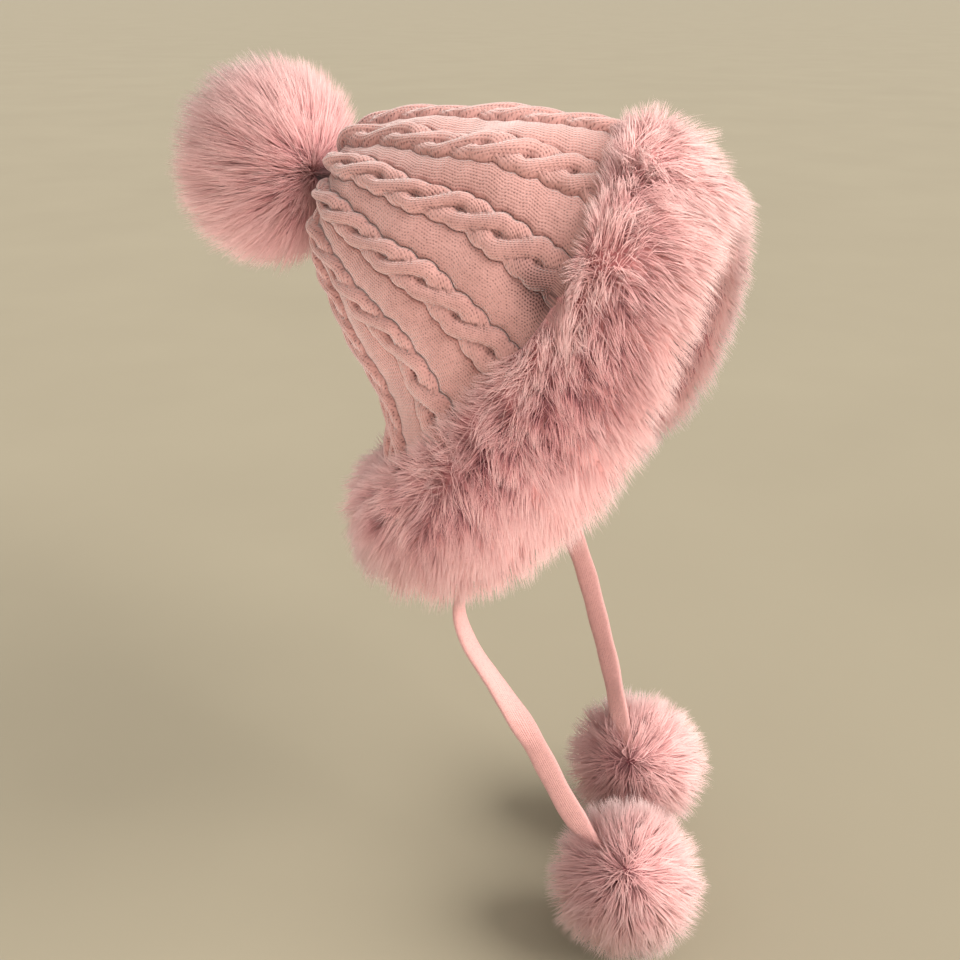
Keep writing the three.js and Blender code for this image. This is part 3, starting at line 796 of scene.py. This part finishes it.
def trimHairs():
    chance = np.random.default_rng(11)
    # equal areas: how long each stretch of the section is, and how fast the head is gone round
    samples = np.linspace(0, 1, 91)
    someTurns = np.arange(64) / 64
    grid = trimPlace(*np.meshgrid(someTurns, samples, indexing="ij"))[0]
    sectionAway = np.append(0, np.cumsum(np.linalg.norm(np.diff(grid, axis=1), axis=-1).mean(0)))
    many = np.linspace(0, 1, 721)
    roundAway = lengthAlong(trimPlace(many, np.full_like(many, 0.4))[0])
    across, roundShare = evenShares(trimHair["locks"])
    lockAcross = np.interp(across * sectionAway[-1], sectionAway, samples)
    lockTurn = np.interp(roundShare * roundAway[-1], roundAway, many)
    count = trimHair["locks"] * trimHair["perLock"]
    lock = np.repeat(np.arange(trimHair["locks"]), trimHair["perLock"])
    spread = chance.normal(0, trimHair["lockWide"], (count, 2)) * mm
    lockAway = np.interp(lockAcross[lock], samples, sectionAway)
    share = np.interp(lockAway + spread[:, 0], sectionAway, samples)
    turn = lockTurn[lock] + spread[:, 1] / roundAway[-1]
    hanging = np.array([0, 0, -trimHair["sag"]])

    def leave(turns, shares, jitter):  # the roots, the first and the last way of the hairs, and the way out
        root, out, along, around = trimPlace(turns, shares)
        rise, fall = growthAt(shares, "out")[:, None], growthAt(shares, "down")[:, None]
        over = mirrored(turns, roundHead["turns"], roundHead["over"])[:, None]
        # where the fur doesn't lie over the knit, it hangs
        fall = np.where(fall < 0, fall * over + 0.25 * (1 - over), fall)
        parted = partedWays(root)
        calm = 1 - 0.5 * np.linalg.norm(parted, axis=-1, keepdims=True)
        aside = around * (trimHair["wander"] * patches(root, trimHair["wanderSize"]))[:, None] + parted
        ruffled = trimHair["ruffle"] * patches(root + 0.3, trimHair["ruffleSize"])[:, None]
        rise, fall = rise * calm, (fall + ruffled) * calm
        # a hair starts more outwards, and ends more along the fur and downwards
        first = unit(out * rise + along * fall * 0.6 + aside * 0.6 + jitter)
        last = unit(out * rise * 0.7 + along * fall * 1.2 + aside * 1.3 + hanging + jitter * 1.4)
        return root, first, last, unit(out * rise + along * fall * 0.5)

    lockJitter = chance.normal(0, trimHair["lockRough"], (trimHair["locks"], 3))
    lockJitter = lockJitter * growthAt(lockAcross, "rough")[:, None]
    lockLength = 1 + chance.normal(0, trimHair["lockUneven"], trimHair["locks"])
    # the fullness fades out towards the knit, and in part towards the rim
    fuller = np.interp(lockTurn % 1, fullness["turns"], fullness["length"]) - 1
    fuller = fuller * ramp(lockAcross, 0.08, 0.4) * (1 - 0.6 * ramp(lockAcross, 0.5, 0.64))
    lockLength = lockLength * (1 + fuller)
    patchy = patches(trimPlace(lockTurn, lockAcross)[0] + 0.7, trimHair["patchSize"])
    lockLength = lockLength * (1 + trimHair["patchy"] * patchy)
    lockTone = chance.uniform(0, 1, trimHair["locks"])
    lockRoot, lockFirst, lockLast, _ = leave(lockTurn, lockAcross, lockJitter)
    lockReach = (growthAt(lockAcross, "length") * lockLength * mm)[:, None]
    bend = trimHair["bend"]
    lockTip = lockRoot + (lockFirst * bend + lockLast * (1 - bend)) * lockReach

    rough = growthAt(share, "rough")
    parted = fromPartings(trimPlace(turn, share)[0])
    tangled = 1 + partings["rough"] * np.exp(-(parted / partings["roughReach"]) ** 2)
    jitter = chance.normal(0, trimHair["hairRough"], (count, 3)) * rough[:, None]
    root, first, last, outward = leave(turn, share, (lockJitter[lock] + jitter) * tangled[:, None])
    reach = trimHair["longest"] - np.abs(chance.normal(0, trimHair["short"], count))
    reach = (growthAt(share, "length") * lockLength[lock] * reach * mm)[:, None]
    middle = root + first * bend * reach
    tip = middle + last * (1 - bend) * reach
    pull = (trimHair["gather"] * rough * chance.uniform(0.5, 1.15, count))[:, None]
    tip = tip + (lockTip[lock] - tip) * pull
    lockMiddle = lockRoot[lock] + lockFirst[lock] * bend * lockReach[lock]
    middle = middle + (lockMiddle - middle) * pull * trimHair["gatherBend"]

    # the tone, 0 a dark root and 1 pale
    tone = lockTone[lock] ** 1.5 * trimHair["lockTone"] + chance.uniform(0, trimHair["hairTone"], count)
    tone = (tone + 0.2 * patches(root, trimHair["toneSize"])) * rough + growthAt(share, "pale")
    darkRow = mirrored(turn, roundHead["turns"], roundHead["darkRow"])
    streaky = np.exp(-((share * (len(growth) - 1) - darkRow) / roundHead["darkWide"]) ** 2)
    tone = tone - streaky * mirrored(turn, roundHead["turns"], roundHead["dark"])
    tone = tone + partings["pale"] * np.exp(-(parted / partings["paleReach"]) ** 2)
    tone = np.clip(tone, leastTone, mostTone)
    calm = np.clip(1 - rough, 0, 1)
    radius = trimHair["thick"] * mm * chance.uniform(0.8, 1.2, count) * (1 - trimHair["calmThin"] * calm)
    turn = turn % 1  # four pieces, by their place round the head
    parts = {
        "fur_trim_right": (turn > 0.14) & (turn < 0.4),
        "fur_trim_left": (turn > 0.6) & (turn < 0.86),
        "fur_trim_nape": (turn >= 0.4) & (turn <= 0.6),
    }
    parts["fur_trim_forehead"] = ~(parts["fur_trim_right"] | parts["fur_trim_left"] | parts["fur_trim_nape"])
    for name, chosen in parts.items():
        hairs(name, root[chosen], middle[chosen], tip[chosen], outward[chosen], radius[chosen],
              tone[chosen], furMaterial, "fur", "fur_trim")


# The pompoms. The hairs start on a core and lean away from the pole where the ball is drawn together.
pompoms = {
    "top": {"node": "top_pompom", "middle": (0, -165, -33), "facing": (0, 47, -6), "radius": 66,
            "flattened": 0.92, "lean": 0.4, "sweep": 1, "locks": 1130, "perLock": 15, "pale": -0.12},
    "right": {"node": "tie_pompom_right", "middle": (-76, 122, -452), "facing": (-54, 15, 83), "radius": 50,
              "flattened": 0.94, "lean": 0.34, "sweep": 0.5, "locks": 560, "perLock": 14, "pale": 0.22},
    "left": {"node": "tie_pompom_left", "middle": (31, 94, -443), "facing": (-80, 0, 60), "radius": 51,
             "flattened": 0.94, "lean": 0.34, "sweep": 0.5, "locks": 560, "perLock": 14, "pale": 0.15},
}
# Distances are shares of the ball's radius, and angles are in radians.
ballHair = {"core": 0.5, "inCore": 0.02, "leanOver": 0.8, "bendOut": 0.86, "bendLean": 0.3, "rootBehind": 0.5,
            "bendBehind": 0.25, "scatter": 0.07, "lockWide": 0.08, "gather": 0.5, "tip": 1.05, "short": 0.14,
            "shortFrom": 0.6, "uneven": 0.025, "longest": 1.03, "hairUneven": 0.07, "astray": 0.16,
            "combed": 0.7, "lockTone": 0.5, "hairTone": 0.15, "farTone": 0.4, "thick": 0.4}


def ballPiece(which):
    ball = pompoms[which]
    middle = place(*ball["middle"])
    pole = unit(place(*ball["facing"]))
    chance = np.random.default_rng(ball["locks"] + len(which))
    aside = unit(np.cross(pole, [0.2, 0.9, 0.4]))
    other = np.cross(pole, aside)
    locks, per = ball["locks"], ball["perLock"]
    count = locks * per
    lock = np.repeat(np.arange(locks), per)

    def spots(up, around, distance, behind, lean):  # places in the ball, moved nearer to the pole or away
        angle = np.arccos(np.clip(up, -1, 1)) - behind * np.sqrt(np.clip(1 - up * up, 0, 1))
        angle = angle + lean * np.exp(-angle / ballHair["leanOver"])
        ways = (pole * (np.cos(angle) * ball["flattened"])[:, None]
                + aside * (np.sin(angle) * np.cos(around))[:, None]
                + other * (np.sin(angle) * np.sin(around))[:, None])
        return middle + ways * (distance * ball["radius"] * mm)[:, None]

    even = 1 - (2 * np.arange(locks) + 1) / locks
    turned = np.arange(locks) * golden
    flat = np.sqrt(1 - even ** 2)
    ways = np.stack([flat * np.cos(turned), flat * np.sin(turned), even], axis=1)
    ways = unit(ways + chance.normal(0, ballHair["scatter"], (locks, 3)))
    lockUp, lockAround = ways[:, 2], np.arctan2(ways[:, 1], ways[:, 0])
    lockLength = 1 + chance.normal(0, ballHair["uneven"], locks)
    lockLength = lockLength - ballHair["short"] * ramp(lockUp, ballHair["shortFrom"], 1)
    lockTip = spots(lockUp, lockAround, ballHair["tip"] * lockLength, 0, ball["lean"])
    lockTone = chance.uniform(0, 1, locks)
    ways = unit(ways[lock] + chance.normal(0, ballHair["lockWide"], (count, 3)))
    up, around = ways[:, 2], np.arctan2(ways[:, 1], ways[:, 0])
    length = ballHair["longest"] - np.abs(chance.normal(0, ballHair["hairUneven"], count))
    length = lockLength[lock] * length
    astray = chance.normal(0, ballHair["astray"], (locks, 3))[lock] * ball["radius"] * mm
    astray = astray * (1 - ballHair["combed"] * ball["sweep"])
    roots = spots(up, around, np.full(count, ballHair["core"]), ballHair["rootBehind"] * ball["sweep"], 0)
    bends = spots(up, around, ballHair["bendOut"] * length, ballHair["bendBehind"] * ball["sweep"],
                  ballHair["bendLean"] * ball["lean"])
    tips = spots(up, around, ballHair["tip"] * length, 0, ball["lean"])
    pull = (ballHair["gather"] * chance.uniform(0.4, 1.1, count))[:, None]
    tips = tips + (lockTip[lock] - tips) * pull
    tips = middle + unit(tips + astray - middle) * np.linalg.norm(tips - middle, axis=1, keepdims=True)
    tone = lockTone[lock] * ballHair["lockTone"] + chance.uniform(0, ballHair["hairTone"], count)
    tone = tone + ballHair["farTone"] * ramp(-up, -1, 0.2) + ball["pale"]
    tone = np.clip(tone, leastTone, mostTone)
    radius = ballHair["thick"] * mm * chance.uniform(0.8, 1.2, count)

    # a dark core: painted shade deep among the hairs
    core = bmesh.new()
    core.loops.layers.uv.new("OFBake")
    bmesh.ops.create_icosphere(core, subdivisions=3, radius=1, calc_uvs=True)
    coreRadius = ball["radius"] * mm * (ballHair["core"] + ballHair["inCore"])
    for vert in core.verts:
        way = np.array(vert.co)
        way = pole * way[2] * ball["flattened"] + aside * way[0] + other * way[1]
        vert.co = middle + way * coreRadius
    mesh = bpy.data.meshes.new(f"pompom_shaded_core_{which}")
    core.to_mesh(mesh)
    core.free()
    inside = keep(mesh, coreShadeMaterial, "fur", ball["node"])
    outside = hairs(f"pompom_fur_{which}", roots, bends, tips, unit(tips - middle), radius, tone,
                    furMaterial, "fur", ball["node"])
    return [inside, outside]


crownPiece()
trimBacking()
trimHairs()
ballPiece("top")
for side in ties:
    tie, path = tiePiece(side)
    ball = ballPiece(side)
    print("tie", side, lengthAlong(path)[-1])
print("pieces made")

# A pale floor, a little below the lowest fur.
floor = {"drop": 3, "size": 500, "colours": (tint(146, 137, 117), tint(154, 145, 124))}
bm = bmesh.new()
bmesh.ops.create_grid(bm, x_segments=1, y_segments=1, size=floor["size"])
bmesh.ops.translate(bm, verts=bm.verts, vec=(0, 0, cadBox[0].z - floor["drop"] * mm))
mesh = bpy.data.meshes.new("floor")
bm.to_mesh(mesh)
bm.free()
ground = bpy.data.objects.new("floor", mesh)
scene.collection.objects.link(ground)
floorFinish = Finish("pale_floor", 0.9, 0, (1, 1, 1, 1))
floorFinish.colour(floorFinish.mix(floorFinish.objectNoise(3, 4), *floor["colours"]))
mesh.materials.append(floorFinish.material)

# Soft light from above, in front of the wearer. The two low lights stand near, and light the fur from below.
lights = [
    {"name": "key", "kind": "SUN", "from": (0.1, -0.8, 0.6), "wide": 48, "strength": 4.7,
     "colour": (1, 0.97, 0.94)},
    {"name": "fill", "kind": "SUN", "from": (-0.55, -0.7, 0.45), "wide": 60, "strength": 0.6,
     "colour": (1, 0.96, 0.94)},
    {"name": "back", "kind": "SUN", "from": (-0.6, 0.75, 0.14), "wide": 60, "strength": 0.35,
     "colour": (1, 0.96, 0.94)},
    {"name": "low", "kind": "AREA", "from": (-0.37, -0.27, -0.31), "away": 0.56, "size": 0.25,
     "spread": 52, "faces": (0, 0, -150), "strength": 0.22, "colour": (1, 0.95, 0.93)},
    {"name": "low back", "kind": "AREA", "from": (-0.38, 0.3, -0.36), "away": 0.56, "size": 0.25,
     "spread": 52, "faces": (0, -115, -110), "strength": 0.22, "colour": (1, 0.95, 0.93)},
]
for lamp in lights:
    light = bpy.data.objects.new(lamp["name"], bpy.data.lights.new(lamp["name"], lamp["kind"]))
    light.data.energy, light.data.color = lamp["strength"], lamp["colour"]
    scene.collection.objects.link(light)
    away = unit(np.array(lamp["from"]))
    light.rotation_euler = (math.acos(away[2]), 0, math.atan2(away[1], away[0]) + math.pi / 2)
    if lamp["kind"] == "SUN":
        light.data.angle = math.radians(lamp["wide"])
    else:
        light.data.size, light.data.spread = lamp["size"], math.radians(lamp["spread"])
        light.location = place(*lamp["faces"]) + away * lamp["away"]
        light.visible_camera = False

world = bpy.data.worlds.new("soft_light")
scene.world = world
world.use_nodes = True
sky = world.node_tree.nodes["Background"]
sky.inputs["Color"].default_value = (1, 0.97, 0.93, 1)
sky.inputs["Strength"].default_value = 0.72
scene.view_settings.view_transform = "Standard"
